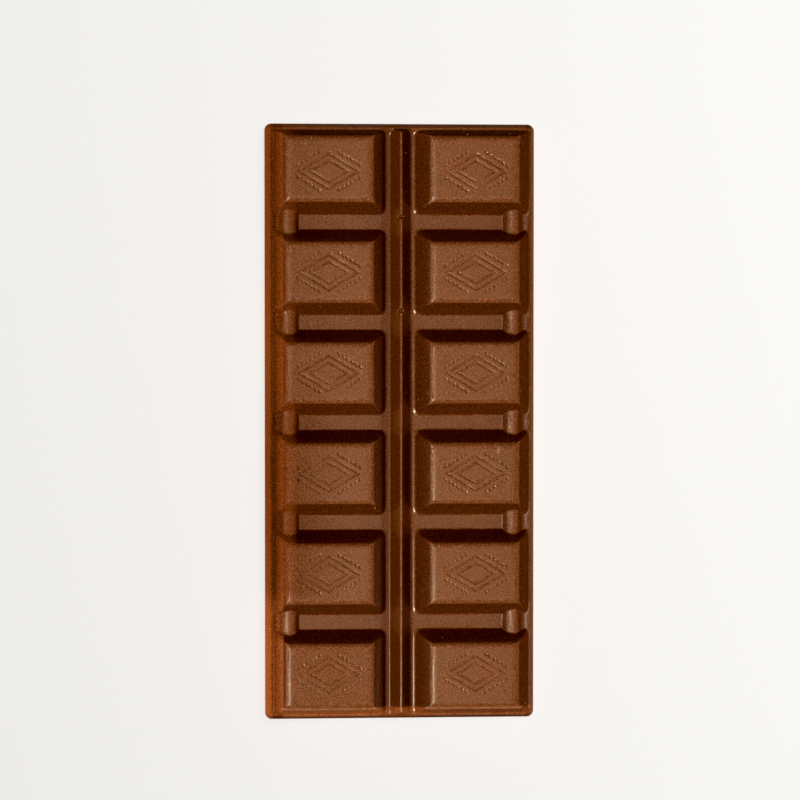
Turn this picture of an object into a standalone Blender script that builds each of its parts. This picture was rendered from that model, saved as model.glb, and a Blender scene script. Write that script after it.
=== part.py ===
"""Moulded chocolate tablet, lying on its poured back with the moulded side up.

One solid: a thin tray with a low rim, twelve pillows in two columns and six rows, a ridge
between the columns and a nub at the outer end of each valley. Each pillow's face is engraved
with two nested lozenges inside four rows of small notches. X runs across the tablet, Y along
it and Z up from the back, with the origin at the middle of the back.
"""

import math

import bmesh
import bpy
from mathutils import Matrix, Vector

MM = 0.001

# Tablet outline, at the back face
LENGTH = 155.0 * MM
WIDTH = 70.3 * MM
CORNER_RADIUS = 1.8 * MM

# Heights above the back
FLOOR_HEIGHT = 4.2 * MM
PILLOW_HEIGHT = 9.7 * MM
LIP_HEIGHT = 5.05 * MM
RIDGE_HEIGHT = 6.9 * MM
NUB_HEIGHT = 5.9 * MM

# Rim: how far in from the outline its crest and its inner foot are
LIP_OUTER_INSET = 1.2 * MM
LIP_INNER_INSET = 1.4 * MM
RIM_FOOT_INSET = 1.95 * MM
SHARP_RADIUS = 0.3 * MM

# Pillows: two columns and six rows
COLUMNS = 2
ROWS = 6
COLUMN_OFFSET = 18.4 * MM
ROW_PITCH = 25.93 * MM
FOOT_X = 29.1 * MM
FOOT_Y = 21.3 * MM
FOOT_RADIUS = 1.1 * MM
FACE_X = 22.2 * MM
FACE_Y = 16.1 * MM
FACE_RADIUS = 0.6 * MM
FLAT_X = 18.4 * MM
FLAT_Y = 12.6 * MM
FACE_CORNER_DROP = 0.9 * MM

# Rounded shoulder between a pillow's flank and its face: outset and drop from the sharp edge
SHOULDER = ((0.5 * MM, 0.95 * MM), (-0.2 * MM, 0.22 * MM), (-1.1 * MM, 0.0))

# Ridge between the columns
RIDGE_WIDTH = 5.2 * MM
RIDGE_END_INSET = 1.35 * MM
RIDGE_APEX_INSET = 2.2 * MM

# Nubs at the outer ends of the valleys
NUB_OFFSET = 29.6 * MM
NUB_WIDTH = 5.6 * MM
NUB_LENGTH = 6.8 * MM
NUB_SEGMENTS = 16

# Engraved ornament: half diagonals of the lozenges, and the groove's width and depth
LOZENGES = ((7.5 * MM, 4.55 * MM), (4.65 * MM, 2.75 * MM))
GROOVE_WIDTH = 0.55 * MM
GROOVE_DEPTH = 0.22 * MM
CUTTER_RISE = 0.1 * MM

# Rows of notches beside the outer lozenge, counted from its left and right corners
NOTCHES_IN_ROW = 6
NOTCH_START = 0.5 * MM
NOTCH_PITCH = 1.25 * MM
NOTCH_DISTANCE = 1.6 * MM
NOTCH_LENGTH = 1.0 * MM
NOTCH_WIDTH = 0.45 * MM
NOTCH_DEPTH = 0.22 * MM
NOTCH_TURN = math.radians(24.0)

# How far a raised form reaches below the floor, so that it joins the tray
ROOT = 1.0 * MM

# Steps round each quarter turn and along each straight side of an outline
ARC_STEPS = 3
PILLOW_SIDE_STEPS = 4

SHARP_ANGLE = math.radians(28.0)
MILK_CHOCOLATE = (0.205, 0.078, 0.028, 1.0)


def clear_scene():
    for obj in list(bpy.data.objects):
        bpy.data.objects.remove(obj, do_unlink=True)


def new_collection(name):
    collection = bpy.data.collections.new(name)
    bpy.context.scene.collection.children.link(collection)
    return collection


def mesh_from_bmesh(name, bm):
    bmesh.ops.recalc_face_normals(bm, faces=bm.faces)
    mesh = bpy.data.meshes.new(name)
    bm.to_mesh(mesh)
    bm.free()
    return mesh


def add_object(name, mesh, collection, location=(0.0, 0.0, 0.0)):
    obj = bpy.data.objects.new(name, mesh)
    obj.location = location
    collection.objects.link(obj)
    return obj


def rounded_outline(half_x, half_y, radius, side_steps=1):
    """Points round a rectangle with rounded corners, counter-clockwise from its right side."""
    points = []
    corners = ((1, 1, 0.0), (-1, 1, 90.0), (-1, -1, 180.0), (1, -1, 270.0))
    for sign_x, sign_y, start in corners:
        centre = Vector((sign_x * (half_x - radius), sign_y * (half_y - radius)))
        for step in range(ARC_STEPS + 1):
            angle = math.radians(start + 90.0 * step / ARC_STEPS)
            points.append(centre + radius * Vector((math.cos(angle), math.sin(angle))))
    divided = []
    for index, point in enumerate(points):
        divided.append(point)
        if index % (ARC_STEPS + 1) == ARC_STEPS:
            following = points[(index + 1) % len(points)]
            for step in range(1, side_steps):
                divided.append(point.lerp(following, step / side_steps))
    return divided


def loft(name, rings):
    """Closed mesh through rings of equally many points, with a flat cap at either end."""
    bm = bmesh.new()
    loops = [[bm.verts.new(point) for point in ring] for ring in rings]
    for lower, upper in zip(loops, loops[1:]):
        for index in range(len(lower)):
            following = (index + 1) % len(lower)
            bm.faces.new((lower[index], lower[following], upper[following], upper[index]))
    bm.faces.new(loops[0])
    bm.faces.new(loops[-1])
    return mesh_from_bmesh(name, bm)


def tray_mesh():
    """Drafted wall up to the lip, then down its inner side to the flat floor."""
    sections = (
        (0.0, 0.0),
        (LIP_OUTER_INSET, LIP_HEIGHT),
        (LIP_INNER_INSET, LIP_HEIGHT),
        (RIM_FOOT_INSET, FLOOR_HEIGHT),
    )
    rings = []
    for inset, height in sections:
        radius = max(CORNER_RADIUS - inset, SHARP_RADIUS)
        outline = rounded_outline(WIDTH / 2 - inset, LENGTH / 2 - inset, radius)
        rings.append([(x, y, height) for x, y in outline])
    return loft("tray", rings)


def pillow_face_drop(x, y):
    """How much lower the face is near its corners than in its middle."""
    across = abs(x) / (FACE_X / 2)
    along = abs(y) / (FACE_Y / 2)
    return FACE_CORNER_DROP * min(across * along, 1.0) ** 4


def pillow_mesh():
    """A pillow with straight flanks, a rounded shoulder and a face that falls at its corners."""
    rise = PILLOW_HEIGHT - FLOOR_HEIGHT
    run_x = (FOOT_X - FACE_X) / 2
    run_y = (FOOT_Y - FACE_Y) / 2
    below = ROOT / rise
    rings = []
    root = rounded_outline(FOOT_X / 2 + below * run_x, FOOT_Y / 2 + below * run_y,
                           FOOT_RADIUS, PILLOW_SIDE_STEPS)
    rings.append([(x, y, FLOOR_HEIGHT - ROOT) for x, y in root])
    for outset, drop in SHOULDER:
        radius = FACE_RADIUS + max(outset, 0.0)
        outline = rounded_outline(FACE_X / 2 + outset, FACE_Y / 2 + outset,
                                  radius, PILLOW_SIDE_STEPS)
        height = PILLOW_HEIGHT - drop
        rings.append([(x, y, height - pillow_face_drop(x, y)) for x, y in outline])
    flat = rounded_outline(FLAT_X / 2, FLAT_Y / 2, FACE_RADIUS, PILLOW_SIDE_STEPS)
    rings.append([(x, y, PILLOW_HEIGHT) for x, y in flat])
    return loft("pillow", rings)


def ridge_mesh():
    """A long roof with hipped ends, whose lower edges are buried in the tray."""
    rise = RIDGE_HEIGHT - FLOOR_HEIGHT
    half_root = RIDGE_WIDTH / 2 * (1.0 + ROOT / rise)
    end = LENGTH / 2 - RIDGE_END_INSET
    apex_end = LENGTH / 2 - RIDGE_APEX_INSET
    bm = bmesh.new()
    bmesh.ops.create_cube(bm, size=1.0)
    for vertex in bm.verts:
        upper = vertex.co.z > 0
        side = math.copysign(1.0, vertex.co.x)
        along = math.copysign(1.0, vertex.co.y)
        vertex.co.x = 0.0 if upper else side * half_root
        vertex.co.y = along * (apex_end if upper else end)
        vertex.co.z = RIDGE_HEIGHT if upper else FLOOR_HEIGHT - ROOT
    bmesh.ops.remove_doubles(bm, verts=bm.verts, dist=0.01 * MM)
    return mesh_from_bmesh("ridge", bm)


def nub_mesh():
    """A low round bar across the end of a valley, its lower half buried in the tray."""
    bm = bmesh.new()
    lie_along_y = Matrix.Rotation(math.radians(90.0), 4, "X")
    bmesh.ops.create_cone(bm, cap_ends=True, segments=NUB_SEGMENTS, radius1=0.5, radius2=0.5,
                          depth=1.0, matrix=lie_along_y)
    size = Vector((NUB_WIDTH, NUB_LENGTH, 2 * (NUB_HEIGHT - FLOOR_HEIGHT)))
    bmesh.ops.scale(bm, vec=size, verts=bm.verts)
    return mesh_from_bmesh("nub", bm)


def lozenge_cutter(half_x, half_y):
    """A lozenge-shaped ring of triangular section, point down, which cuts a groove."""
    side = math.hypot(half_x, half_y)
    top_half_width = GROOVE_WIDTH / 2 * (1.0 + CUTTER_RISE / GROOVE_DEPTH)
    spread = top_half_width * side / (half_x * half_y)
    section = (
        (1.0 + spread, PILLOW_HEIGHT + CUTTER_RISE),
        (1.0 - spread, PILLOW_HEIGHT + CUTTER_RISE),
        (1.0, PILLOW_HEIGHT - GROOVE_DEPTH),
    )
    corners = ((half_x, 0.0), (0.0, half_y), (-half_x, 0.0), (0.0, -half_y))
    bm = bmesh.new()
    loops = []
    for scale, height in section:
        loops.append([bm.verts.new((x * scale, y * scale, height)) for x, y in corners])
    for loop, next_loop in zip(loops, loops[1:] + loops[:1]):
        for index in range(len(corners)):
            following = (index + 1) % len(corners)
            bm.faces.new((loop[index], loop[following], next_loop[following], next_loop[index]))
    return mesh_from_bmesh("lozenge_cutter", bm)


def notch_cutter():
    """A long four-sided point, whose tip cuts one notch."""
    widening = 1.0 + CUTTER_RISE / NOTCH_DEPTH
    bm = bmesh.new()
    bmesh.ops.create_cone(bm, cap_ends=True, segments=4, radius1=0.0, radius2=0.5, depth=1.0)
    bmesh.ops.remove_doubles(bm, verts=bm.verts, dist=0.001)
    size = Vector((NOTCH_LENGTH * widening, NOTCH_WIDTH * widening, NOTCH_DEPTH + CUTTER_RISE))
    bmesh.ops.scale(bm, vec=size, verts=bm.verts)
    return mesh_from_bmesh("notch_cutter", bm)


def notch_places():
    """Place and turn of every notch: four rows, mirrored about both diagonals."""
    half_x, half_y = LOZENGES[0]
    slope = math.atan2(half_y, half_x)
    places = []
    for sign_x in (1, -1):
        for sign_y in (1, -1):
            outward = Vector((math.sin(slope), math.cos(slope))) * NOTCH_DISTANCE
            for count in range(NOTCHES_IN_ROW):
                reach = NOTCH_START + count * NOTCH_PITCH
                x = half_x - reach * math.cos(slope) + outward.x
                y = reach * math.sin(slope) + outward.y
                turn = -(slope + NOTCH_TURN) * sign_x * sign_y
                places.append((sign_x * x, sign_y * y, turn))
    return places


def boolean_with_collection(obj, collection, operation):
    """Applies one exact Boolean with every object of a collection and removes those objects."""
    modifier = obj.modifiers.new(operation.lower(), "BOOLEAN")
    modifier.operation = operation
    modifier.operand_type = "COLLECTION"
    modifier.collection = collection
    modifier.solver = "EXACT"
    depsgraph = bpy.context.evaluated_depsgraph_get()
    result = bpy.data.meshes.new_from_object(obj.evaluated_get(depsgraph))
    obj.modifiers.remove(modifier)
    obj.data = result
    for operand in list(collection.objects):
        bpy.data.objects.remove(operand, do_unlink=True)


def add_cutter(name, mesh, cutters, location=(0.0, 0.0, 0.0), turn=0.0):
    cutter = add_object(name, mesh, cutters, location)
    cutter.rotation_euler.z = turn
    cutter.hide_render = True
    cutter.display_type = "WIRE"


def engraved_pillow(helpers, cutters):
    """The pillow's mesh with its ornament cut into the face."""
    pillow = add_object("pillow", pillow_mesh(), helpers)
    for index, (half_x, half_y) in enumerate(LOZENGES):
        add_cutter(f"lozenge_cutter_{index}", lozenge_cutter(half_x, half_y), cutters)
    notch = notch_cutter()
    notch_middle = PILLOW_HEIGHT + (CUTTER_RISE - NOTCH_DEPTH) / 2
    for index, (x, y, turn) in enumerate(notch_places()):
        add_cutter(f"notch_cutter_{index}", notch, cutters, (x, y, notch_middle), turn)
    boolean_with_collection(pillow, cutters, "DIFFERENCE")
    mesh = pillow.data
    bpy.data.objects.remove(pillow, do_unlink=True)
    return mesh


def row_height(row):
    """Y of a row's middle, counted from the far end of the tablet."""
    return ((ROWS - 1) / 2 - row) * ROW_PITCH


def column_side(column):
    return 2 * column - (COLUMNS - 1)


def add_relief(relief, pillow):
    """Pillows, ridge and nubs, placed on the tray and ready to join it."""
    for row in range(ROWS):
        for column in range(COLUMNS):
            place = (column_side(column) * COLUMN_OFFSET, row_height(row), 0.0)
            add_object(f"pillow_{row}_{column}", pillow, relief, place)
    add_object("ridge", ridge_mesh(), relief)
    nub = nub_mesh()
    for row in range(ROWS - 1):
        for column in range(COLUMNS):
            valley = (row_height(row) + row_height(row + 1)) / 2
            place = (column_side(column) * NUB_OFFSET, valley, FLOOR_HEIGHT)
            add_object(f"nub_{row}_{column}", nub, relief, place)


def chocolate_material():
    material = bpy.data.materials.new("milk_chocolate")
    material.use_nodes = True
    shader = material.node_tree.nodes["Principled BSDF"]
    shader.inputs["Base Color"].default_value = MILK_CHOCOLATE
    shader.inputs["Roughness"].default_value = 0.42
    shader.inputs["Metallic"].default_value = 0.0
    return material


def main():
    clear_scene()
    parts = new_collection("chocolate_tablet")
    helpers = new_collection("helpers")
    cutters = new_collection("cutters")
    relief = new_collection("relief")

    pillow = engraved_pillow(helpers, cutters)
    add_relief(relief, pillow)
    bar = add_object("chocolate_bar", tray_mesh(), parts)
    boolean_with_collection(bar, relief, "UNION")
    bar.data.name = "chocolate_bar"
    bar.data.materials.clear()
    bar.data.materials.append(chocolate_material())
    bar.data.shade_smooth()
    bar.data.set_sharp_from_angle(angle=SHARP_ANGLE)


main()
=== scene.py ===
"""Looks of a moulded milk chocolate tablet: the moulded surface, its finish and the studio."""

import math
from types import SimpleNamespace

import bmesh
import bpy
import numpy as np
from bpy.props import FloatProperty, FloatVectorProperty, IntProperty, PointerProperty
from mathutils import Matrix, Vector
from mathutils.geometry import delaunay_2d_cdt


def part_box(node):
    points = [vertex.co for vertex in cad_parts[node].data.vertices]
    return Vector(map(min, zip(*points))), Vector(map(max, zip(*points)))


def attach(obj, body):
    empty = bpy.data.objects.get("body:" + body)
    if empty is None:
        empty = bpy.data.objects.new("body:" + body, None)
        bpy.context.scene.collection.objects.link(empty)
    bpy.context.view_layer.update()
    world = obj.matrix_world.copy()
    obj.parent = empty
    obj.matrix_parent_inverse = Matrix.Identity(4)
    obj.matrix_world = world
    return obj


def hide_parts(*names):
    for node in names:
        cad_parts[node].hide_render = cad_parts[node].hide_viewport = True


bl_info = {
    "name": "Milk Chocolate Tablet",
    "version": (1, 0, 0),
    "blender": (4, 5, 0),
    "location": "View3D > Sidebar > Chocolate",
    "description": "Moulds a tablet of milk chocolate, gives it its finish and lights it",
    "category": "Object",
}

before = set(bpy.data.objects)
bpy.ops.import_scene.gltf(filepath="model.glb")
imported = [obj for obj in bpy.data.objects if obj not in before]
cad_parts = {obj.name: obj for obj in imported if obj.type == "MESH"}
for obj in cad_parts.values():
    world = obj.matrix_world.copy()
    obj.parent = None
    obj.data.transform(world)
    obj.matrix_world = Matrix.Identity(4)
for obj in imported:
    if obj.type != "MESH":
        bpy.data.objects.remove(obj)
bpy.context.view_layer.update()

NODE = "chocolate_bar"
BODY = "root"

MM = 0.001
LOW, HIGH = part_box(NODE)
ROWS = 6
NOTCHES_IN_ROW = 6
TINY = 1e-6

# The shape is worked out in millimetres. These are the grid lines beside each kind of feature:
# how far they stay close together, and their spacing there.
APEX_GRID = (0.5, 0.11)
FOOT_GRID = (0.3, 0.12)
EDGE_GRID = (0.4, 0.12)
END_EDGE_GRID = (0.5, 0.12)
NUB_GRID = (0.5, 0.13)
RIM_GRID = (1.0, 0.09)
NUB_GRID_SHIFT = 0.4
GRID_GROWTH = 0.35
COARSE_GRID = 0.42
COARSE_ROW_GRID = 0.45
GRID_DECIMALS = 5

# The grid is finer still this far round a mark, if the mark is at least this deep.
MARK_MARGIN = 0.3
LEAST_MARK = 0.02
MARK_CUTS = 2

# Powers: how squarely a contour turns its corners, and how steeply a mark's sides fall.
FACE_POWER = 7
FLANK_POWER = 5
GROOVE_POWER = 1.7
NOTCH_POWER = 1.3
PIT_POWER = 3

# Rounding of the ridge's hips and of a nub's upper edges, and how many times sharper than
# elsewhere the creases round a nub are.
HIP_ROUND = 0.4
NUB_EDGE_ROUND = 0.25
NUB_CREASE_SHARPNESS = 3

# Where the ridge's right fillet takes over from the left one.
FILLET_CHANGE = (-0.5, 0.5)

# Distance in from the lower end over which the lip comes up.
LIP_FADE = (1.2, 3.2)

# A distance in from the outline that is past the lip anywhere.
INLAND = 9.0

# The outline's rounded corners: their least radius, and where the grid is square again.
LEAST_RADIUS = 0.5
SQUARE_AGAIN = (2.4, 4.0)

# Depth left of the ornament: its mean, its spread and its limits, its wavelength, and the
# steps from one pillow's pattern to the next, so that no two are alike.
WEAR_MEAN = 0.85
WEAR_SPREAD = 0.25
WEAR_LIMITS = (0.4, 1.3)
WEAR_WAVE = 9.0
WEAR_STEP_ACROSS = 11.0
WEAR_STEP_ALONG = 31.0

# The unevenness: how many waves make it and how their lengths vary, its wavelength on the faces
# and in the valleys, and its share in the valleys.
RIPPLE_WAVES = 14
RIPPLE_SPREAD = (0.7, 1.5)
FACE_WAVE = 11.0
VALLEY_WAVE = 7.0
VALLEY_CALM = 0.6

# The poured back: its points' spacing, margin and jitter, the corners that hold none, how far in
# its hollows are full, and the share, wavelength and seed of each of their waves. The last
# number has the triangulation keep what lies inside the outline.
BACK_SPACING = 1.3
BACK_MARGIN = 0.9
BACK_JITTER = 0.35
BACK_CORNER = 3.0
BACK_CORNER_REACH = 2.0
BACK_FADE = (0.3, 4.0)
BACK_LEVEL = 0.5
BACK_WAVES = ((0.35, 16.0, 6), (0.12, 5.0, 7))
INSIDE_ONLY = 1

# Each of these adds its own number to the seed.
VALLEY_SEED = 1
WEAR_SEED = 3
BACK_SEED = 5
CRUMB_SEED = 20

# The burst bubbles on the ridge: place across and along, and how much wider than long.
PITS = ((-0.05, 53.2), (-0.05, 28.9))
PIT_STRETCH = 1.5

# The crumbs: margin, radius, how much longer and flatter than round, unevenness and detail.
CRUMB_MARGIN = 2.5
CRUMB_RADIUS = (0.07, 0.16)
CRUMB_STRETCH = (0.9, 1.6)
CRUMB_FLATNESS = 0.8
CRUMB_UNEVENNESS = 0.12
CRUMB_SUBDIVISIONS = 2

# The larger flakes: place across and along, half length and turn in degrees.
FLAKES = (
    (25.4, 63.3, 0.38, 100.0),
    (25.0, -7.0, 1.00, 84.0),
    (26.7, 15.8, 0.26, 40.0),
    (24.1, 16.6, 0.22, 120.0),
    (-10.2, 62.5, 0.24, 70.0),
    (-6.9, -22.0, 0.34, 95.0),
    (-12.2, 41.3, 0.26, 20.0),
    (-23.3, 73.3, 0.40, 60.0),
    (-27.4, 67.9, 0.30, 150.0),
    (11.0, 11.7, 0.28, 10.0),
    (13.8, 35.9, 0.24, 75.0),
    (20.0, 32.1, 0.22, 130.0),
    (1.4, 59.7, 0.22, 35.0),
)

# A flake's width and thickness as shares of its length, and its greatest half thickness.
FLAKE_WIDTH = 0.45
FLAKE_THICKNESS = 0.35
FLAKE_LIMIT = 0.18


def between(low, high):
    """Two places given in millimetres, in metres."""
    return low * MM, high * MM


# Zones of the finish, most of them where light or shade is painted into the colour: where each
# fades in or out. Across, from the middle to the right.
LIP_CREASE_START = between(-33.7, -33.2)
LEFT_RIM = between(-33.2, -32.6)
LIP_CREASE_END = between(-32.9, -32.2)
RUBBED_SIDE = between(-31, -12)
LEFT_FLANK = between(-30.9, -30.2)
LEFT_FACE_EDGE = between(-29.4, -26.5)
WORN_SIDE = between(-16, -2)
END_AMBER = between(-6, 20)
TROUGH_SIDE = between(2.0, 2.6)
MIDDLE = between(4.6, 5.6)
SHADED_SIDE = between(10, 20)
RIGHT_FACES = between(22, 31)
NUB_SIDE = between(26.2, 26.6)
MATT_RIGHT = between(31.4, 32.2)
INNER_LIP = between(32.3, 32.7)
RIGHT_WALL = between(33.6, 34.1)

# Along, from the middle to the top.
BOTTOM_RIM = between(-76.4, -75.7)
EDGE_HIGHLIGHT_START = between(-74.75, -74.35)
BOTTOM_FLANK = between(-74.3, -73.6)
EDGE_HIGHLIGHT_END = between(-73.95, -73.45)
BRIGHT_AMBER = between(-68, -15)
WORN_ROW = between(-50, -46)
RUBBED_ROWS = between(-48, -43)
LESS_RUBBED = between(-5, 15)
PAINTED_LIGHT_FADE = between(20, 60)
END_RIM = between(75.6, 76.3)

# Above the back.
WALL = between(3.0, 4.2)
VALLEY = between(4.4, 6.5)
NUB_START = between(5.0, 5.5)
FLANK_FOOT = between(5.0, 8.0)
NUB_END = between(6.3, 6.8)
UPPER = between(7.0, 8.2)
TOP = between(8.85, 9.05)

# How far the surface faces up, to the right or to the top: 1 is straight that way.
MOULDED_SIDE = (-0.45, -0.15)
LIP_CREST = (0.15, 0.55)
FACES_AWAY = (0.35, 0.70)
FACES_UP = (0.70, 0.88)
NUB_CREST = (0.80, 0.90)
RUBBED_FACE = (0.92, 0.995)
RUBBED_VALLEY = (0.940, 0.985)
WORN_FACE = (0.955, 0.985)
UPPER_TOLERANCE = 0.04

# Noises of the finish: grain, detail, roughness, and the limits that sharpen them.
PATCHES = (9 * MM, 3.0, 0.60, (0.35, 0.68))
DRIFTS = (2.2 * MM, 3.0, 0.65, (0.40, 0.70))
MOTTLE = (0.55 * MM, 2.0, 0.60, (0.58, 0.80))
GRAIN = (0.32 * MM, 2.0, 0.70, (0.40, 0.68))
CRUMB_PATCHES = (0.4 * MM, 2.0, 0.50, (0.35, 0.65))
SMEAR_GRAIN = 3.5 * MM
PEEL_GRAIN = 1.4 * MM
NOISE_MEAN = 0.5

# The pale dots of milk solids: their pitch, and their edge as a share of it.
DOT_PITCH = 1.6 * MM
DOT_EDGE = (0.03, 0.09)

# What the grain multiplies the colour by, in its hollows, on its grains and on the outer walls.
DARK_GRAIN = (0.66, 0.50, 0.20)
LIGHT_GRAIN = (1.62, 1.86, 2.35)
WALL_GRAIN = (1.06, 1.08, 1.05)

# How light enters and leaves the chocolate.
CHOCOLATE_OPTICS = {
    "IOR": 1.46,
    "Specular IOR Level": 0.45,
    "Specular Tint": (1.0, 0.86, 0.68, 1.0),
    "Subsurface Weight": 0.06,
    "Subsurface Scale": 0.9 * MM,
    "Subsurface Radius": (1.0, 0.45, 0.2),
}

# The floor, in metres: half its width, how far it lies below the tablet, and its faint clouds.
FLOOR_REACH = 4.0
FLOOR_SQUARES = 8
FLOOR_DROP = 0.03 * MM
FLOOR_CLOUD = 60 * MM
FLOOR_CLOUD_SHARE = 0.02
FLOOR_CLOUD_GREY = (0.8, 0.8, 0.8)
FLOOR_FINISH = {"Roughness": 0.7, "Specular IOR Level": 0.2}

# The lamps, in metres: place, width and height, and colour. The gleam is the key's bright middle.
TABLET_MIDDLE = Vector((0.0, 0.0, 0.0))
KEY_PLACE = (-1.14, -0.55, 1.55)
LAMPS = {
    "key": (KEY_PLACE, (0.5, 0.5), (1.0, 0.98, 0.95)),
    "fill": ((0.0, -0.08, 1.80), (0.8, 0.8), (1.0, 0.98, 0.95)),
    "sheen": ((0.12, -0.12, 0.95), (0.6, 0.6), (1.0, 0.97, 0.95)),
    "warm": ((-1.15, -0.25, 0.24), (0.8, 0.44), (1.0, 0.40, 0.10)),
    "side": ((1.1, -0.25, 0.30), (0.6, 0.25), (1.0, 0.96, 0.90)),
    "back": ((-0.2, 1.1, 0.20), (0.8, 0.12), (1.0, 0.85, 0.60)),
    "gleam": (KEY_PLACE, (0.25, 0.25), (1.0, 0.80, 0.62)),
    "paper": ((0.85, 0.2, 1.6), (1.6, 1.6), (1.0, 0.99, 0.97)),
    "shade": ((0.3, 0.2, 1.7), (1.6, 1.6), (1.0, 0.99, 0.97)),
}
UNMIRRORED_LAMPS = ("fill", "side", "back")
MIRRORED_ONLY_LAMPS = ("gleam",)
FLOOR_LAMPS = ("paper", "shade")
FLOOR_SHADOW_LAMPS = ("paper",)

# Colour of the surroundings; the camera's sensor in millimetres, and what it sees in metres.
SURROUNDINGS = (0.93, 0.93, 0.925)
SENSOR_WIDTH = 36.0
NEAREST_SEEN = 0.01
FURTHEST_SEEN = 20.0


def measure(name, description, millimetres):
    """A length property whose default is given in millimetres."""
    return FloatProperty(name=name, description=description, default=millimetres * MM,
                         unit="LENGTH", subtype="DISTANCE", precision=5)


def fraction(name, description, default):
    """A property between 0 and 1."""
    return FloatProperty(name=name, description=description, default=default,
                         min=0.0, max=1.0, subtype="FACTOR")


def number(name, description, default):
    """A property without a unit."""
    return FloatProperty(name=name, description=description, default=default)


def power(name, description, watts):
    """A lamp's power property."""
    return FloatProperty(name=name, description=description, default=watts, unit="POWER")


def colour(name, description, default):
    """A colour property."""
    return FloatVectorProperty(name=name, description=description, default=default,
                               size=3, min=0.0, max=1.0, subtype="COLOR")


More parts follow.
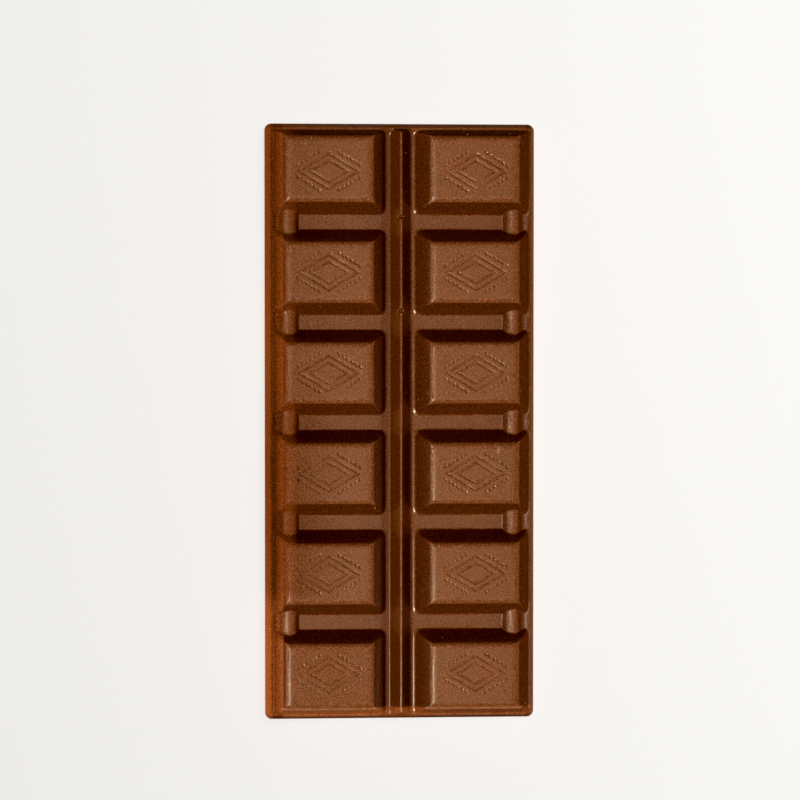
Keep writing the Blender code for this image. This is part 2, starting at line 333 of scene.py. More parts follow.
class TabletForm(bpy.types.PropertyGroup):
    """Sizes of the moulded tablet."""

    length: measure("Length", "Along the tablet, at its back", (HIGH.y - LOW.y) / MM)
    width: measure("Width", "Across the tablet, at its back", (HIGH.x - LOW.x) / MM)
    corner_radius: measure("Corner radius", "Of the outline", 1.8)
    edge_radius: measure("Back edge radius", "Where the wall meets the poured back", 0.3)
    floor_height: measure("Floor height", "Of the valleys above the back", 4.2)
    pillow_height: measure("Pillow height", "Of the pieces' faces above the back",
                           (HIGH.z - LOW.z) / MM)
    lip_height: measure("Lip height", "Of the rim's crest above the back", 5.1)
    lip_inset: measure("Lip inset", "From the outline to the rim's crest", 1.25)
    lip_run: measure("Lip run", "From the rim's crest in to its foot", 1.45)
    lip_round: measure("Lip rounding", "Of the rim's crest", 1.1)
    column_offset: measure("Column offset", "From the middle to a column's middle", 18.6)
    row_pitch: measure("Row pitch", "From one row to the next", 25.93)
    foot_across: measure("Foot across", "Width of a pillow at its foot", 29.2)
    foot_along: measure("Foot along", "Length of a pillow at its foot", 22.0)
    face_across: measure("Face across", "Width of a pillow between its flanks' edges", 23.3)
    face_along: measure("Face along", "Length of a pillow between its flanks' edges", 16.4)
    flat_across: measure("Flat across", "Width of the flat middle of a face", 18.8)
    flat_along: measure("Flat along", "Length of the flat middle of a face", 12.4)
    top_reach: measure("Top reach", "How much further the first row's faces run out", 1.2)
    bottom_reach: measure("Bottom reach", "How much further the last row's faces run out", 0.9)
    right_reach: measure("Right reach", "How much further the right pillows run out", 0.4)
    inner_foot_reach: measure("Inner foot reach", "How much further in the right pillows' "
                              "inner feet are", 0.4)
    inner_edge_inset: measure("Inner edge inset", "How much further out the right faces' "
                              "inner edges are", 0.15)
    crown: measure("Crown", "How far a face falls from its flat middle to a flank's edge", 0.95)
    dish: measure("Dish", "Gentle fall over the whole face", 0.08)
    shoulder: measure("Shoulder", "Rounding of a flank's upper edge", 0.45)
    crease: measure("Crease", "Fillet between a flank and the floor", 0.55)
    inner_crease: measure("Inner crease", "Fillet at the right pillows' inner feet", 0.9)
    ridge_height: measure("Ridge height", "Of the ridge's apex above the back", 6.9)
    ridge_half_width: measure("Ridge half width", "From the apex to the ridge's foot", 2.6)
    ridge_apex_radius: measure("Ridge apex radius", "Rounding of the apex", 0.20)
    ridge_end_inset: measure("Ridge end inset", "From the outline to the ridge's end", 1.2)
    ridge_hip_slope: number("Ridge hip slope", "Rise over run of the ridge's ends", 2.4)
    ridge_left_crease: measure("Ridge left crease", "Fillet along the ridge's left foot", 0.28)
    ridge_right_crease: measure("Ridge right crease", "Fillet along the ridge's right foot", 0.6)
    nub_height: measure("Nub height", "Of a nub's crest above the back", 6.1)
    nub_offset: measure("Nub offset", "From the middle to a nub's crest", 29.0)
    right_nub_shift: measure("Right nub shift", "Of the right nubs' crests outwards", 0.3)
    nub_foot: measure("Nub foot", "From the middle to a nub's inner foot", 26.5)
    nub_slope: number("Nub slope", "Rise over run of a nub's inner face", 2.2)
    nub_round: measure("Nub rounding", "Radius of a nub's crest", 2.0)
    nub_outer_foot: measure("Nub outer foot", "From the middle to a nub's outer foot", 32.0)
    nub_outer_slope: number("Nub outer slope", "Rise over run of a nub's outer face", 1.0)
    left_shift: measure("Left ornament shift", "Of the left ornaments outwards", 0.2)
    right_shift: measure("Right ornament shift", "Of the right ornaments outwards", 0.6)
    lozenge_across: measure("Lozenge across", "Outer lozenge's half diagonal", 7.5)
    lozenge_along: measure("Lozenge along", "Outer lozenge's other half diagonal", 4.55)
    inner_across: measure("Inner lozenge across", "Inner lozenge's half diagonal", 4.65)
    inner_along: measure("Inner lozenge along", "Inner lozenge's other half diagonal", 2.75)
    groove_depth: measure("Groove depth", "Of the lozenges' grooves", 0.30)
    groove_half_width: measure("Groove half width", "Of the lozenges' grooves", 0.24)
    notch_start: measure("Notch start", "From the lozenge's corner to the first notch", 0.5)
    notch_pitch: measure("Notch pitch", "From one notch to the next", 1.25)
    notch_distance: measure("Notch distance", "From the outer lozenge to its notches", 1.6)
    notch_half_length: measure("Notch half length", "Of one notch", 0.5)
    notch_half_width: measure("Notch half width", "Of one notch", 0.24)
    notch_depth: measure("Notch depth", "Of one notch", 0.36)
    notch_turn: FloatProperty(name="Notch turn", description="Turn against the row",
                              default=math.radians(24.0), unit="ROTATION", subtype="ANGLE")
    worn_groove: fraction("Worn groove", "Depth left on a lozenge's two most worn sides", 0.8)
    worn_notch: fraction("Worn notch", "Depth left in the two most worn rows of notches", 0.6)
    pit_radius: measure("Pit radius", "Of a burst bubble", 0.36)
    pit_depth: measure("Pit depth", "Of a burst bubble", 0.9)
    unevenness: measure("Unevenness", "Gentle waves over the moulded side", 0.03)
    back_hollow: measure("Back hollow", "Unevenness of the poured back", 0.12)
    crumbs: IntProperty(name="Crumbs", description="Number of crumbs beside the flakes",
                        default=90)
    seed: IntProperty(name="Seed", description="Of the unevenness and the crumbs", default=7)


class ChocolateFinish(bpy.types.PropertyGroup):
    """Colours and gloss of milk chocolate, and the colours that paint light and shade onto it."""

    base: colour("Chocolate", "Main colour", (0.172, 0.055, 0.0175))
    ruddy: colour("Ruddy patches", "Warmer patches", (0.184, 0.054, 0.0175))
    olive: colour("Brown patches", "Cooler patches", (0.148, 0.051, 0.0160))
    # Pale: the specks of milk solids, and also a painted highlight along the last row's lower
    # edges.
    pale: colour("Pale specks", "Specks of milk solids", (0.330, 0.140, 0.060))
    # Fresh chocolate: darker than the rubbed faces, and dark enough to be painted shade on the
    # steep flanks, in creases and in valleys.
    fresh_and_shaded: colour("Fresh chocolate", "On the steep flanks, which nothing rubs",
                  (0.070, 0.0175, 0.0048))
    # Rim: a little lighter than plain chocolate, painted light on the lit outer walls, which it
    # also keeps free of painted shade.
    rim: colour("Rim", "On the right wall and on the walls and lips of both ends",
                (0.190, 0.060, 0.0180))
    # Amber and bright amber: painted warm light on the left wall and flanks, brighter near the
    # lower end.
    amber: colour("Amber", "On the left wall and flanks", (0.262, 0.064, 0.0130))
    bright_amber: colour("Bright amber", "The amber near the lower end",
                         (0.350, 0.093, 0.0240))
    deep: colour("Deep", "On the flanks that face away from the light", (0.020, 0.003, 0.001))
    roughness: fraction("Roughness", "Of the faces, which rub on the wrapper", 0.48)
    fresh_roughness: fraction("Fresh roughness", "Of all that slopes on the moulded side", 0.13)
    dull_roughness: fraction("Dull roughness", "Of the matt share of the surface", 0.9)
    roughness_spread: fraction("Roughness spread", "Between patches", 0.10)
    grain_depth: measure("Grain depth", "Of the finest texture", 0.05)
    grain_strength: fraction("Grain strength", "Of the finest texture", 0.7)
    peel_depth: measure("Peel depth", "Of the soft ripples left by the mould", 0.03)
    peel_strength: fraction("Peel strength", "Of the soft ripples left by the mould", 0.6)


class ZoneShares(bpy.types.PropertyGroup):
    """How far each zone of the tablet differs from plain chocolate: patches, mottle and dots of
    its own colour, painted light and painted shade, and matt, glossy and smooth zones.
    """

    ruddy: fraction("Ruddy", "Ruddy colour in the warmer patches", 0.7)
    olive: fraction("Brown", "Brown colour in the cooler patches", 0.55)
    mottle: fraction("Mottle", "Pale colour in the fine mottle", 0.30)
    dots: fraction("Dots", "Pale colour in the dots of milk solids", 0.5)
    # The rubbed zone is matt and also takes painted shade.
    upper_rubbed: fraction("Upper rows", "How much less the left column's upper rows are rubbed",
                           0.5)
    # Painted warm light and painted shade at the rubbed left faces' left edges.
    warm_and_shaded_edge: fraction("Rubbed edge", "Amber at the rubbed left faces' left edges", 0.6)
    plain_tops: fraction("Plain tops", "Plain colour on the faces' sloping edges", 0.8)
    # Painted shade: how much of the darker Fresh chocolate colour each of these zones takes where
    # shade falls.
    painted_shade_right_faces: fraction("Fresh right", "Fresh colour at the right faces' right sides", 0.17)
    painted_shade_valleys: fraction("Fresh valleys", "Fresh colour in the valleys", 0.28)
    painted_shade_left_faces: fraction("Fresh rubbed", "Fresh colour on the rubbed left faces", 0.42)
    painted_shade_right_lip: fraction("Fresh lip", "Fresh colour on the right lip's inner side", 0.7)
    painted_shade_left_crest: fraction("Fresh crest", "Fresh colour on the left lip's crest", 0.25)
    painted_shade_left_edge: fraction("Fresh edge", "Fresh colour at the rubbed faces' left edges", 0.65)
    painted_shade_flank_foot: fraction("Fresh foot", "Fresh colour at the feet of the left flanks", 0.5)
    painted_shade_lip_crease: fraction("Fresh crease", "Fresh colour in the crease on the left lip", 0.2)
    painted_shade_lower_end: fraction("Fresh end", "Fresh colour on the lower end's wall", 0.5)
    painted_shade_trough: fraction("Fresh trough", "Fresh colour beside the ridge", 0.3)
    painted_light_fade: fraction("Fresh amber", "Fresh colour in the amber near the top", 0.18)
    # Painted shade: the deep colour on flanks that face away from the light.
    painted_shade_right_flanks: fraction("Deep right", "Deep colour on the flanks that face right", 0.35)
    painted_shade_top_flanks: fraction("Deep top", "Deep colour on the flanks that face the top", 0.55)
    # Painted warm light: how much amber the left wall, flanks and lower end take.
    painted_light_flanks: fraction("Amber flanks", "Amber on the left wall and flanks", 0.75)
    painted_light_rim: fraction("Amber rim", "More amber on the left wall", 0.25)
    painted_light_end: fraction("Amber end", "Amber at the left of the lower end", 0.62)
    painted_light_end_loss: fraction("Amber end loss", "Less amber at the right of the lower end", 0.35)
    # Painted highlight along the last row's lower edges.
    painted_highlight_edge: fraction("Worn edge", "Pale colour along the last row's lower edges", 0.9)
    plain_walls: fraction("Plain walls", "How much weaker the grain is on the walls", 0.65)
    matt_flanks: fraction("Matt flanks", "Matt share of the left flanks", 0.85)
    matt_rim: fraction("Matt rim", "Matt share of the left wall", 0.9)
    matt_rubbed: fraction("Matt rubbed", "Matt share of the rubbed left faces", 0.85)
    matt_trough: fraction("Matt trough", "Matt share beside the ridge", 0.5)
    matt_row: fraction("Matt row", "Matt share of the last row's left face", 0.55)
    matt_right: fraction("Matt right", "Matt share of the right lip and wall", 0.6)
    glossy_nubs: fraction("Glossy nubs", "How much glossier the right nubs' crests are", 0.55)
    smooth_middle: fraction("Smooth middle", "How much smoother the ridge is", 0.85)
    smooth_valleys: fraction("Smooth valleys", "How much smoother the valleys are", 0.5)
    smooth_walls: fraction("Smooth walls", "How much smoother the outer walls are", 0.6)


class StudioSetup(bpy.types.PropertyGroup):
    """Camera and lights."""

    lean_left: number("Lean left", "Camera's offset to the left for each unit of height", 0.0711)
    lean_up: number("Lean up", "Camera's offset to the top for each unit of height", 0.0301)
    distance: measure("Distance", "From the camera to the tablet", 767.0)
    frame_width: measure("Frame width", "Seen by the camera at the tablet", 208.77)
    aim_right: measure("Aim right", "How far right of the middle the camera aims", 0.13)
    aim_up: measure("Aim up", "How far above the middle the camera aims", 5.67)
    key: power("Key", "Soft light from the left", 31.0)
    fill: power("Fill", "Matt light from above", 12.0)
    sheen: power("Sheen", "Weak panel mirrored in the faces", 0.4)
    warm: power("Warm", "Low warm light from the left", 1.5)
    side: power("Side", "Low weak light from the right", 10.5)
    back: power("Back", "Low weak light from the top end", 2.2)
    gleam: power("Gleam", "Mirrored light in the glossy edges", 44.0)
    paper: power("Paper", "Light on the floor alone, from the right", 37.0)
    shade: power("Shade", "Light on the floor that casts the tablet's shadow", 9.5)
    black: number("Black", "Scene brightness that the picture shows as black", 0.005)
    world: number("World", "Strength of the pale surroundings", 0.02)
    floor: colour("Floor", "Colour of the floor", (0.86, 0.86, 0.855))


def millimetres(form):
    """The form's sizes as plain numbers, with every length in millimetres."""
    sizes = {}
    for key in TabletForm.__annotations__:
        value = getattr(form, key)
        is_length = form.bl_rna.properties[key].unit == "LENGTH"
        sizes[key] = value / MM if is_length else value
    return SimpleNamespace(**sizes)


def soft_min(first, second, blend):
    """The lower of two heights, rounded where they cross."""
    overlap = np.maximum(blend - np.abs(first - second), 0.0) / blend
    return np.minimum(first, second) - overlap * overlap * blend / 4.0


def soft_max(first, second, blend):
    """The higher of two heights, rounded where they cross."""
    return -soft_min(-first, -second, blend)


def smooth_step(value, start, end):
    """0 before start, 1 after end, and a smooth rise between."""
    share = np.clip((value - start) / (end - start), 0.0, 1.0)
    return share * share * (3.0 - 2.0 * share)


def ripple(x, y, wavelength, seed):
    """Smooth unevenness between about -1 and 1, made of sine waves in many directions."""
    draw = np.random.default_rng(seed)
    total = np.zeros_like(x)
    for _ in range(RIPPLE_WAVES):
        turn = draw.uniform(0.0, 2.0 * math.pi)
        pace = 2.0 * math.pi / (wavelength * draw.uniform(*RIPPLE_SPREAD))
        start = draw.uniform(0.0, 2.0 * math.pi)
        total += np.sin(pace * (x * math.cos(turn) + y * math.sin(turn)) + start)
    return total / math.sqrt(RIPPLE_WAVES)


def nearest_pillow(x, y, size):
    """Place within the nearest pillow, u counted outwards from its middle, and its row."""
    row = np.clip(np.rint((ROWS - 1) / 2 - y / size.row_pitch), 0, ROWS - 1)
    u = np.abs(x) - size.column_offset
    v = y - ((ROWS - 1) / 2 - row) * size.row_pitch
    return u, v, row


def lozenge_depth(mirrored, u, v, size):
    """Depth of the two lozenges' grooves before wear; mirrored is u counted to the right."""
    depth = np.zeros_like(u)
    lozenges = ((size.lozenge_across, size.lozenge_along), (size.inner_across, size.inner_along))
    for across, along in lozenges:
        distance = np.abs(u) / across + np.abs(v) / along - 1.0
        distance *= across * along / math.hypot(across, along)
        profile = np.exp(-np.abs(distance / size.groove_half_width) ** GROOVE_POWER)
        profile *= np.where(mirrored * v < 0.0, size.worn_groove, 1.0)
        depth = np.maximum(depth, size.groove_depth * profile)
    return depth


def notch_depth(mirrored, v, size):
    """Depth of the four rows of notches before wear."""
    depth = np.zeros_like(v)
    slope = math.atan2(size.lozenge_along, size.lozenge_across)
    turn = slope + size.notch_turn
    for sign_x in (1, -1):
        for sign_y in (1, -1):
            for count in range(NOTCHES_IN_ROW):
                reach = size.notch_start + count * size.notch_pitch
                middle_x = (size.lozenge_across - reach * math.cos(slope)
                            + size.notch_distance * math.sin(slope))
                middle_y = reach * math.sin(slope) + size.notch_distance * math.cos(slope)
                over = sign_x * mirrored - middle_x
                up = sign_y * v - middle_y
                along = (over * math.cos(turn) - up * math.sin(turn)) / size.notch_half_length
                across = (over * math.sin(turn) + up * math.cos(turn)) / size.notch_half_width
                profile = np.exp(-(along * along + across * across) ** NOTCH_POWER)
                profile *= size.worn_notch if sign_x != sign_y else 1.0
                depth = np.maximum(depth, size.notch_depth * profile)
    return depth


def ornament(x, u, v, row, size):
    """Depth of the engraved lozenges and notches, worn by a different amount on each pillow."""
    on_left = x < 0.0
    u = u - np.where(on_left, size.left_shift, size.right_shift)
    mirrored = np.where(on_left, -u, u)
    depth = np.maximum(lozenge_depth(mirrored, u, v, size), notch_depth(mirrored, v, size))
    side = np.where(on_left, 0, 1)
    unworn = WEAR_MEAN + WEAR_SPREAD * ripple(x + WEAR_STEP_ACROSS * side,
                                              v + WEAR_STEP_ALONG * row,
                                              WEAR_WAVE, size.seed + WEAR_SEED)
    return depth * np.clip(unworn, *WEAR_LIMITS)


def flank(distance, foot, edge, size):
    """Height of the plane that rises from a pillow's foot to its flank's upper edge."""
    rise = size.pillow_height - size.crown - size.floor_height
    return size.floor_height + (foot - distance) * rise / (foot - edge)


def rounded_sum(first, second, exponent):
    """Joins two distances so that their contours turn rounded corners."""
    total = np.maximum(first, 0.0) ** exponent + np.maximum(second, 0.0) ** exponent
    return total ** (1 / exponent)


def face_fall(share_x, share_y, size):
    """How far a face has fallen; a share is 0 on its flat middle and 1 at a flank's edge."""
    share = rounded_sum(share_x, share_y, FACE_POWER)
    return size.crown * np.where(share < 1.0, share ** 2, 2.0 * share - 1.0)


def pillow_height(x, y, size):
    """Height of the pillow that stands nearest to each point, ornament included."""
    u, v, row = nearest_pillow(x, y, size)
    end = np.where(v > 0.0, np.where(row == 0, size.top_reach, 0.0),
                   np.where(row == ROWS - 1, size.bottom_reach, 0.0))
    aside = np.abs(u) - np.where((x > 0.0) & (u > 0.0), size.right_reach, 0.0)
    along = np.abs(v)
    inner_right = (x > 0.0) & (u < 0.0)
    foot_x = size.foot_across / 2 + np.where(inner_right, size.inner_foot_reach, 0.0)
    edge_x = size.face_across / 2 - np.where(inner_right, size.inner_edge_inset, 0.0)
    edge_y = size.face_along / 2 + end
    fall_x = size.pillow_height - flank(aside, foot_x, edge_x, size)
    fall_y = size.pillow_height - flank(along, size.foot_along / 2, edge_y, size)
    flanks = size.pillow_height - rounded_sum(fall_x, fall_y, FLANK_POWER)
    flat_x = size.flat_across / 2
    flat_y = size.flat_along / 2 + end
    face = size.pillow_height - face_fall((aside - flat_x) / (edge_x - flat_x),
                                          (along - flat_y) / (edge_y - flat_y), size)
    face -= size.dish * ((u / edge_x) ** 2 + (v / edge_y) ** 2)
    face += size.unevenness * ripple(x, y, FACE_WAVE, size.seed)
    height = soft_min(flanks, face, size.shoulder)
    return height - ornament(x, u, v, row, size)


def ridge_height(x, y, size):
    """Height of the ridge between the columns, a roof with hipped ends."""
    slope = (size.ridge_height - size.floor_height) / size.ridge_half_width
    radius = size.ridge_apex_radius
    roof = size.ridge_height - slope * (np.sqrt(x * x + radius * radius) - radius)
    end = size.length / 2 - size.ridge_end_inset - np.abs(y)
    hip = size.floor_height + end * size.ridge_hip_slope
    return soft_min(roof, hip, HIP_ROUND)


def nub_height(x, y, size):
    """Bars across the outer ends of the valleys, steep inside and rounded on top."""
    last_valley = ROWS / 2 - 1
    valley = np.clip(np.rint(y / size.row_pitch), -last_valley, last_valley)
    off_valley = np.abs(y - valley * size.row_pitch)
    aside = np.abs(x)
    middle = size.nub_offset + np.where(x > 0.0, size.right_nub_shift, 0.0)
    crest = size.nub_height - (aside - middle) ** 2 / (2.0 * size.nub_round)
    inner_face = size.floor_height + (aside - size.nub_foot) * size.nub_slope
    outer_face = size.floor_height + (size.nub_outer_foot - aside) * size.nub_outer_slope
    faces = soft_min(inner_face, outer_face, NUB_EDGE_ROUND)
    height = soft_min(crest, faces, NUB_EDGE_ROUND)
    below_floor = size.floor_height - 1.0
    return np.where(off_valley < size.row_pitch / 4, height, below_floor)


def pit_depth(x, y, size):
    """Depth of the small burst bubbles on the ridge."""
    depth = np.zeros_like(x)
    for pit_x, pit_y in PITS:
        reach = np.hypot((x - pit_x) / PIT_STRETCH, y - pit_y) / size.pit_radius
        depth = np.maximum(depth, size.pit_depth * np.exp(-reach ** PIT_POWER))
    return depth


def moulded_height(x, y, depth, size):
    """Height of the moulded side, where depth is the distance in from the outline."""
    rise = size.lip_height - size.floor_height
    wall_slope = (size.lip_height - size.edge_radius) / size.lip_inset
    wall = size.edge_radius + depth * wall_slope
    lip = size.lip_height - (depth - size.lip_inset) * rise / size.lip_run
    lip -= rise * (1.0 - smooth_step(y + size.length / 2, *LIP_FADE))
    ground = np.full_like(x, size.floor_height)
    ground += VALLEY_CALM * size.unevenness * ripple(x, y, VALLEY_WAVE, size.seed + VALLEY_SEED)
    inner_right = (x > 0.0) & (x < size.column_offset)
    crease = np.where(inner_right, size.inner_crease, size.crease)
    height = soft_max(ground, pillow_height(x, y, size), crease)
    fillet_growth = size.ridge_right_crease - size.ridge_left_crease
    fillet = size.ridge_left_crease + smooth_step(x, *FILLET_CHANGE) * fillet_growth
    height = soft_max(height, ridge_height(x, y, size), fillet)
    height = soft_max(height, nub_height(x, y, size), size.crease / NUB_CREASE_SHARPNESS)
    height = soft_max(height, lip, size.crease)
    return soft_min(height, wall, size.lip_round) - pit_depth(x, y, size)


def graded_lines(end, features, coarse):
    """Places from 0 to end: each feature gives its place, its reach and its spacing there."""
    places = [0.0]
    while places[-1] < end:
        steps = [spacing + GRID_GROWTH * max(abs(places[-1] - place) - reach, 0.0)
                 for place, reach, spacing in features]
        places.append(places[-1] + min(steps + [coarse]))
    return np.array(places) * (end / places[-1])


def lines_across(size):
    """Grid lines across the tablet, close together at edges, creases and fillets."""
    features = (
        (0.0, *APEX_GRID),
        (size.ridge_half_width, *FOOT_GRID),
        (size.column_offset - size.foot_across / 2, *FOOT_GRID),
        (size.column_offset - size.face_across / 2, *EDGE_GRID),
        (size.nub_foot + NUB_GRID_SHIFT, *NUB_GRID),
        (size.column_offset + size.face_across / 2, *EDGE_GRID),
        (size.column_offset + size.foot_across / 2, *FOOT_GRID),
        (size.width / 2 - size.lip_inset / 2, *RIM_GRID),
    )
    half = graded_lines(size.width / 2 + size.edge_radius, features, COARSE_GRID)
    return np.concatenate((-half[:0:-1], half))


def lines_along(size):
    """Grid lines along the tablet: the same half row over and over, and then the rim."""
    face = size.face_along / 2
    foot = size.foot_along / 2
    inner_features = ((face, *EDGE_GRID), (foot, *FOOT_GRID))
    inner = graded_lines(size.row_pitch / 2, inner_features, COARSE_ROW_GRID)
    end = size.length / 2 - (ROWS - 1) / 2 * size.row_pitch
    end_face = (face + size.top_reach + face + size.bottom_reach) / 2
    outer_features = (
        (end_face, *END_EDGE_GRID),
        (foot, *FOOT_GRID),
        (end - size.lip_inset / 2, *RIM_GRID),
    )
    outer = graded_lines(end + size.edge_radius, outer_features, COARSE_GRID)
    lines = []
    for row in range(ROWS):
        middle = (row - (ROWS - 1) / 2) * size.row_pitch
        lower = outer if row == 0 else inner
        upper = outer if row == ROWS - 1 else inner
        lines.extend(middle - lower[::-1])
        lines.extend(middle + upper[1:])
    return np.unique(np.round(np.array(lines), GRID_DECIMALS))


def flat_grid(across, along):
    """A flat bmesh with one quad between each two neighbouring lines."""
    xs, ys = np.meshgrid(across, along)
    places = np.stack((xs.ravel(), ys.ravel(), np.zeros(xs.size)), axis=1)
    index = np.arange(xs.size).reshape(xs.shape)
    quads = np.stack((index[:-1, :-1], index[:-1, 1:], index[1:, 1:], index[1:, :-1]), axis=-1)
    mesh = bpy.data.meshes.new("grid")
    mesh.from_pydata(places.tolist(), [], quads.reshape(-1, 4).tolist())
    bm = bmesh.new()
    bm.from_mesh(mesh)
    bpy.data.meshes.remove(mesh)
    return bm


def refine_marks(bm, size):
    """Splits the quads that the grooves, notches and pits run through."""
    bm.faces.ensure_lookup_table()
    middles = np.array([face.calc_center_median()[:2] for face in bm.faces])
    x, y = middles[:, 0], middles[:, 1]
    u, v, row = nearest_pillow(x, y, size)
    depth = pit_depth(x, y, size)
    near = ((0, 0), (MARK_MARGIN, 0), (-MARK_MARGIN, 0), (0, MARK_MARGIN), (0, -MARK_MARGIN))
    for step_x, step_y in near:
        depth = np.maximum(depth, ornament(x, u + step_x, v + step_y, row, size))
    chosen = np.nonzero(depth > LEAST_MARK)[0]
    edges = {edge for index in chosen for edge in bm.faces[index].edges}
    bmesh.ops.subdivide_edges(bm, edges=list(edges), cuts=MARK_CUTS, use_grid_fill=True)


def round_corners(x, y, size):
    """Bends the square grid's outer rings round the corners, and gives each point's depth."""
    ring_x = size.width / 2 + size.edge_radius - np.abs(x)
    ring_y = size.length / 2 + size.edge_radius - np.abs(y)
    ring = np.minimum(ring_x, ring_y)
    along_ring = np.abs(ring_x - ring_y)
    angle = np.clip(ring / size.edge_radius, 0.0, 1.0) * math.pi / 2
    depth = np.maximum(ring - size.edge_radius, 0.0)
    inset = depth + size.edge_radius * (1.0 - np.sin(angle))
    under = size.edge_radius * (1.0 - np.cos(angle))
    radius = np.maximum(size.corner_radius - inset, LEAST_RADIUS)
    radius *= 1.0 - smooth_step(inset, *SQUARE_AGAIN)
    radius = np.maximum(radius, TINY)
    turned = np.clip(1.0 - along_ring / radius, 0.0, 1.0) * math.pi / 4
    on_side = ring_x <= ring_y
    reach_x = radius * np.where(on_side, np.cos(turned), np.sin(turned))
    reach_y = radius * np.where(on_side, np.sin(turned), np.cos(turned))
    half_x = size.width / 2 - inset
    half_y = size.length / 2 - inset
    bent = along_ring < radius
    side_x = np.where(on_side, half_x, size.width / 2 + size.edge_radius - ring_x)
    side_y = np.where(on_side, size.length / 2 + size.edge_radius - ring_y, half_y)
    new_x = np.where(bent, half_x - radius + reach_x, side_x)
    new_y = np.where(bent, half_y - radius + reach_y, side_y)
    return np.sign(x) * new_x, np.sign(y) * new_y, depth, under


def rim_loop(bm):
    """The outermost vertices of the grid, in order."""
    edge = next(edge for edge in bm.edges if edge.is_boundary)
    start, vertex = edge.verts
    loop = [start]
    while vertex is not start:
        loop.append(vertex)
        edge = next(other for other in vertex.link_edges
                    if other.is_boundary and other is not edge)
        vertex = edge.other_vert(vertex)
    return loop


def back_points(size):
    """Uneven points inside the outline, and how far the poured back is hollowed at each."""
    draw = np.random.default_rng(size.seed + BACK_SEED)
    reach_x = size.width / 2 - BACK_MARGIN
    reach_y = size.length / 2 - BACK_MARGIN
    grid_x, grid_y = np.meshgrid(np.arange(-reach_x, reach_x, BACK_SPACING),
                                 np.arange(-reach_y, reach_y, BACK_SPACING))
    x = grid_x.ravel() + draw.uniform(-BACK_JITTER, BACK_JITTER, grid_x.size)
    y = grid_y.ravel() + draw.uniform(-BACK_JITTER, BACK_JITTER, grid_y.size)
    corner = np.hypot(np.maximum(np.abs(x) - size.width / 2 + BACK_CORNER, 0.0),
                      np.maximum(np.abs(y) - size.length / 2 + BACK_CORNER, 0.0))
    keep = corner < BACK_CORNER_REACH
    x, y = x[keep], y[keep]
    depth_in = np.minimum(size.width / 2 - np.abs(x), size.length / 2 - np.abs(y))
    waves = BACK_LEVEL
    for share, wavelength, seed in BACK_WAVES:
        waves = waves + share * ripple(x, y, wavelength, size.seed + seed)
    hollow = size.back_hollow * smooth_step(depth_in, *BACK_FADE) * waves
    return x.tolist(), y.tolist(), np.maximum(hollow, 0.0)


def pour_back(bm, size):
    """Closes the underside with an uneven skin of small triangles."""
    loop = rim_loop(bm)
    inner_x, inner_y, hollow = back_points(size)
    points = [Vector((vertex.co.x, vertex.co.y)) for vertex in loop]
    points += [Vector(pair) for pair in zip(inner_x, inner_y)]
    outline = list(range(len(loop)))
    made = delaunay_2d_cdt(points, [], [outline], INSIDE_ONLY, TINY)
    places, faces, origins = made[0], made[2], made[3]
    vertices = []
    for place, origin in zip(places, origins):
        first = origin[0]
        if first < len(loop):
            vertices.append(loop[first])
        else:
            vertices.append(bm.verts.new((place.x, place.y, hollow[first - len(loop)])))
    for face in faces:
        bm.faces.new([vertices[index] for index in reversed(face)])


def smooth_mesh(bm, name):
    """Turns a bmesh in millimetres into a smooth mesh in metres."""
    bmesh.ops.scale(bm, vec=(MM, MM, MM), verts=bm.verts)
    mesh = bpy.data.meshes.new(name)
    bm.to_mesh(mesh)
    bm.free()
    mesh.shade_smooth()
    return mesh


def tablet_mesh(size):
    """The whole tablet as one closed fine mesh."""
    bm = flat_grid(lines_across(size), lines_along(size))
    refine_marks(bm, size)
    flat = np.array([vertex.co[:2] for vertex in bm.verts])
    x, y, depth, under = round_corners(flat[:, 0], flat[:, 1], size)
    z = np.where(depth > 0.0, moulded_height(x, y, depth, size), under)
    for vertex, place in zip(bm.verts, np.stack((x, y, z), axis=1).tolist()):
        vertex.co = place
    pour_back(bm, size)
    bmesh.ops.recalc_face_normals(bm, faces=bm.faces)
    return smooth_mesh(bm, "moulded_tablet")


def add_crumb(bm, place, lengths, turn, draw):
    """One squashed uneven ball; lengths are its half axes in millimetres."""
    matrix = (Matrix.Translation(Vector(place)) @ Matrix.Rotation(turn, 4, "Z")
              @ Matrix.Diagonal((*lengths, 1.0)))
    made = bmesh.ops.create_icosphere(bm, subdivisions=CRUMB_SUBDIVISIONS, radius=1.0,
                                      matrix=matrix)
    for vertex in made["verts"]:
        uneven = Vector(draw.uniform(-CRUMB_UNEVENNESS, CRUMB_UNEVENNESS, 3))
        vertex.co += uneven * lengths[2]


def crumb_mesh(size):
    """Tiny crumbs and a few flakes that cling to the moulded side."""
    draw = np.random.default_rng(size.seed + CRUMB_SEED)
    reach_x = size.width / 2 - CRUMB_MARGIN
    reach_y = size.length / 2 - CRUMB_MARGIN
    x = draw.uniform(-reach_x, reach_x, size.crumbs)
    y = draw.uniform(-reach_y, reach_y, size.crumbs)
    z = moulded_height(x, y, np.full_like(x, INLAND), size)
    bm = bmesh.new()
    for place in zip(x, y, z):
        radius = draw.uniform(*CRUMB_RADIUS)
        lengths = (radius * draw.uniform(*CRUMB_STRETCH), radius, radius * CRUMB_FLATNESS)
        add_crumb(bm, place, lengths, draw.uniform(0.0, math.pi), draw)
    for flake_x, flake_y, half_length, turn in FLAKES:
        spot_x, spot_y = np.array([flake_x]), np.array([flake_y])
        top = moulded_height(spot_x, spot_y, np.array([INLAND]), size)[0]
        half_thickness = min(half_length * FLAKE_THICKNESS, FLAKE_LIMIT)
        lengths = (half_length, half_length * FLAKE_WIDTH, half_thickness)
        add_crumb(bm, (flake_x, flake_y, top), lengths, math.radians(turn), draw)
    return smooth_mesh(bm, "crumbs")


